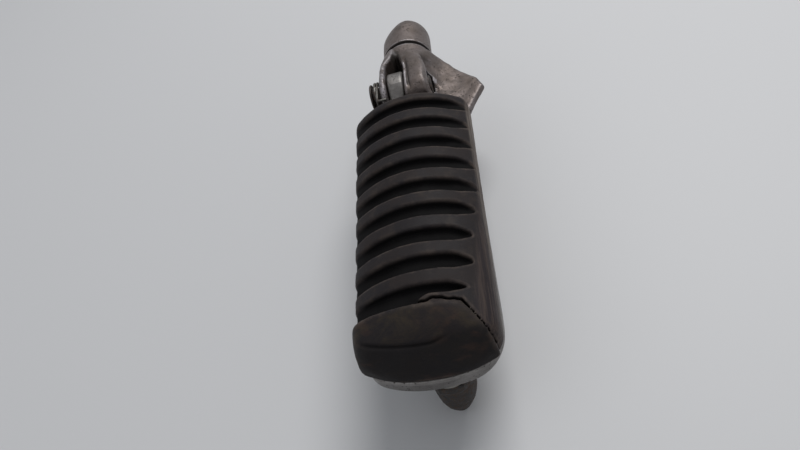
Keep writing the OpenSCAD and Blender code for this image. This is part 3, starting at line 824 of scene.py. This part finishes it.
def cast_metal(name, clean, tint, bright, grime_and_shade, dirt, shift):
    """Weathered sand-cast aluminium. dirt is from 0, clean, to 1."""
    f = Finish(name)
    cloud = f.noise(6, 5, 0.6, shift=shift)
    stain = f.noise(3.2, 6, 0.68, shift=shift + 4, bend=0.5)
    grain = f.noise(0.55, 4, 0.62, shift=shift + 7)
    pits = f.ramp(f.cells(0.9, shift=shift + 2), 0.16, 0.36, 1, 0)
    pits = f.times(pits, f.ramp(f.noise(2.4, 3, 0.5, shift=shift + 9), 0.46, 0.60))
    colour = f.mix(f.ramp(cloud, 0.36, 0.66), clean, tint)
    wear = f.ramp(f.mask("wear"), 0.16, 0.60)
    wear = f.times(wear, f.ramp(stain, 0.34, 0.56))
    colour = f.mix(f.times(wear, 0.85), colour, bright)
    film = f.times(f.ramp(stain, 0.50, 0.72), 0.25 + 0.5 * dirt)
    # the hollows are darkened towards the grime colour: painted shade, and grime
    hollow = f.ramp(f.mask("hollow"), 0.14, 0.55)
    dirt_and_shade = f.most(f.times(hollow, 0.95), film)
    dirt_and_shade = f.most(dirt_and_shade, f.times(pits, 0.8))
    colour = f.mix(dirt_and_shade, colour, grime_and_shade)
    rough = f.plus(f.ramp(grain, 0.3, 0.7, 0.36, 0.52), f.times(dirt_and_shade, 0.30))
    normal = f.bump(grain, 0.16, 0.55)
    normal = f.bump(f.times(pits, -1.0), 0.22, 0.7, normal)
    f.set(Base_Color=colour, Roughness=rough, Normal=normal,
          Metallic=f.math("SUBTRACT", 0.72, f.times(dirt_and_shade, 0.62)))
    return f.material


def steel(name, base, dark, rust, rusty, metallic, rough):
    """Steel with stains and rust. rusty is from 0 to 1."""
    f = Finish(name)
    cloud = f.noise(2.6, 5, 0.62)
    spots = f.noise(1.3, 6, 0.7, shift=5, bend=0.4)
    grain = f.noise(0.4, 3, 0.6, shift=8)
    colour = f.mix(f.ramp(cloud, 0.36, 0.66), base, dark)
    eaten = f.ramp(spots, 0.66 - 0.28 * rusty, 0.80 - 0.28 * rusty)
    colour = f.mix(eaten, colour, rust)
    f.set(Base_Color=colour,
          Roughness=f.plus(f.ramp(grain, 0.3, 0.7, rough - 0.06, rough + 0.08),
                           f.times(eaten, 0.25)),
          Metallic=f.math("SUBTRACT", metallic, f.times(eaten, metallic)),
          Normal=f.bump(f.times(spots, grain), 0.25, 0.3 + 0.4 * rusty))
    return f.material


RUBBER = rubber()
BRACKET_CAST = cast_metal("cast_bracket", srgb(105, 96, 93), srgb(87, 78, 73),
                          srgb(172, 168, 172), srgb(32, 26, 21), 0.5, 0.0)
CORE_CAST = cast_metal("cast_core", srgb(122, 119, 117), srgb(102, 99, 97),
                       srgb(160, 158, 156), srgb(44, 41, 37), 0.25, 20.0)
DARK_STEEL = steel("dark_steel", srgb(70, 66, 64), srgb(48, 44, 42), srgb(84, 56, 40),
                   0.45, 0.7, 0.45)
ZINC_STEEL = steel("zinc_steel", srgb(150, 148, 142), srgb(118, 114, 106),
                   srgb(104, 76, 54), 0.3, 0.8, 0.38)
SPRING_STEEL = steel("spring_steel", srgb(112, 110, 106), srgb(70, 66, 62),
                     srgb(88, 62, 46), 0.4, 0.75, 0.40)
RUSTY_STEEL = steel("rusty_steel", srgb(30, 26, 25), srgb(26, 22, 20),
                    srgb(56, 42, 32), 0.75, 0.2, 0.6)

# ------------------------------------------------------------------ pieces
# name, shape, CAD node, body, material, slot, box in mm, mesh step in mm
PIECES = [
    ("tread", tread, "tread_rubber", "peg", RUBBER, "tread_rubber",
     (-22.2, -136.8, -5.0), (21.6, -34.0, 15.5), 0.42),
    ("core", core, "peg_core", "peg", CORE_CAST, "cast_core",
     (-20.4, -136.6, -9.6), (20.4, -13.6, 11.4), 0.46),
    ("bracket", bracket, "mounting_bracket", "bracket", BRACKET_CAST, "cast_bracket",
     (-11.4, -36.0, -11.2), (28.4, 18.2, 14.2), 0.36),
    ("hinge_pin", pivot_pin, "pivot_pin", "bracket", DARK_STEEL, "dark_steel",
     (-15.2, -28.3, -3.3), (9.6, -15.7, 9.3), 0.25),
    ("hinge_washer", pin_washer, "pin_washer", "bracket", ZINC_STEEL, "zinc_steel",
     (4.9, -28.1, -3.1), (7.2, -15.9, 9.1), 0.2),
    ("hinge_ring", retaining_ring, "retaining_ring", "bracket", DARK_STEEL, "dark_steel",
     (6.1, -27.4, -2.4), (8.2, -16.6, 8.4), 0.2),
    ("bolts", tread_bolts, "tread_bolts", "peg", ZINC_STEEL, "zinc_steel",
     (-6.4, -113.6, -8.4), (6.4, -45.8, 6.7), 0.26),
    ("washers", bolt_washers, "bolt_washers", "peg", ZINC_STEEL, "zinc_steel",
     (-6.6, -113.9, -4.2), (6.6, -45.6, -2.0), 0.2),
    ("sensor", bank_sensor, "bank_sensor", "peg", RUSTY_STEEL, "rusty_steel",
     (-5.4, -136.4, -34.4), (10.4, -121.0, -5.0), 0.26),
    ("sensor_seat", sensor_washer, "sensor_washer", "peg", ZINC_STEEL, "zinc_steel",
     (-4.2, -135.6, -10.3), (9.4, -121.8, -7.9), 0.2),
]
MASKS = {"tread": tread_masks}

for name, shape, node, body, material, slot, low, high, step in PIECES:
    piece = skin(name, shape, low, high, step, MASKS.get(name))
    piece.data.materials.append(material)
    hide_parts(node)
    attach(piece, body)

spring = tube("spring", spring_path(), WIRE_R)
spring.data.materials.append(SPRING_STEEL)
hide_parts("return_spring")
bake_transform(spring)

# the parts buried in the rubber keep their CAD shapes
for node in ("tread_plate", "weld_nuts"):
    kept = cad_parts[node]
    kept.data.materials.clear()
    kept.data.materials.append(ZINC_STEEL)

# ------------------------------------------------- floor, light and camera

FLOOR_Z = SENSOR_TIP_Z * MM
PALE = srgb(205, 206, 209)

floor_mesh = bpy.data.meshes.new("floor")
reach = 4.0
floor_mesh.from_pydata([(-reach, -reach, FLOOR_Z), (reach, -reach, FLOOR_Z),
                        (reach, reach, FLOOR_Z), (-reach, reach, FLOOR_Z)], [], [(0, 1, 2, 3)])
floor = bpy.data.objects.new("floor", floor_mesh)
bpy.context.scene.collection.objects.link(floor)
top = Finish("floor")
top.set(Base_Color=PALE, Roughness=0.55)
floor.data.materials.append(top.material)


def lamp(name, place, size, watts, colour, aim=(0.0, -0.07, 0.0)):
    data = bpy.data.lights.new(name, "AREA")
    data.shape = "DISK"
    data.size = size
    data.energy = watts
    data.color = colour
    made = bpy.data.objects.new(name, data)
    made.location = place
    made.rotation_euler = (Vector(aim) - Vector(place)).to_track_quat("-Z", "Y").to_euler()
    bpy.context.scene.collection.objects.link(made)


lamp("window", (0.34, 0.44, 0.90), 0.7, 7.7, (1.0, 0.99, 0.97))
lamp("fill", (-0.55, -0.35, 0.8), 0.9, 0.7, (0.93, 0.96, 1.0))

AMBIENT = 0.31
world = bpy.data.worlds.new("world")
bpy.context.scene.world = world
world.use_nodes = True
tree = world.node_tree
tree.nodes.clear()
path = tree.nodes.new("ShaderNodeLightPath")
seen = tree.nodes.new("ShaderNodeMath")
seen.operation = "MAXIMUM"
seen_too = tree.nodes.new("ShaderNodeMath")
seen_too.operation = "MAXIMUM"
tree.links.new(path.outputs["Is Camera Ray"], seen.inputs[0])
tree.links.new(path.outputs["Is Glossy Ray"], seen.inputs[1])
tree.links.new(seen.outputs[0], seen_too.inputs[0])
tree.links.new(path.outputs["Is Transmission Ray"], seen_too.inputs[1])
light = tree.nodes.new("ShaderNodeBackground")
light.inputs["Color"].default_value = (0.96, 0.98, 1.0, 1)
light.inputs["Strength"].default_value = AMBIENT
back = tree.nodes.new("ShaderNodeBackground")
back.inputs["Color"].default_value = PALE
back.inputs["Strength"].default_value = 1.0
choose = tree.nodes.new("ShaderNodeMixShader")
out = tree.nodes.new("ShaderNodeOutputWorld")
tree.links.new(seen_too.outputs[0], choose.inputs[0])
tree.links.new(light.outputs[0], choose.inputs[1])
tree.links.new(back.outputs[0], choose.inputs[2])
tree.links.new(choose.outputs[0], out.inputs[0])

# The camera that looks at the peg as the photograph does: its place, its right and up
# directions in the frame, and its focal length for a picture 800 wide.
CAMERA_PLACE = Vector((30.56, -211.04, 145.08)) * MM
CAMERA_RIGHT = Vector((0.95983, -0.03663, -0.27817))
CAMERA_UP = Vector((0.20774, 0.75919, 0.61683))
FOCAL_PIXELS, PICTURE_WIDTH, SENSOR_WIDTH = 635.09, 800, 36.0

camera_data = bpy.data.cameras.new("camera")
camera_data.sensor_width = SENSOR_WIDTH
camera_data.lens = SENSOR_WIDTH * FOCAL_PIXELS / PICTURE_WIDTH
camera_data.clip_start = 0.005
camera = bpy.data.objects.new("camera", camera_data)
backward = CAMERA_RIGHT.cross(CAMERA_UP)
turn = Matrix((CAMERA_RIGHT, CAMERA_UP, backward)).transposed()
camera.matrix_world = Matrix.Translation(CAMERA_PLACE) @ turn.to_4x4()
bpy.context.scene.collection.objects.link(camera)
bpy.context.scene.camera = camera
bpy.context.scene.view_settings.view_transform = "Standard"
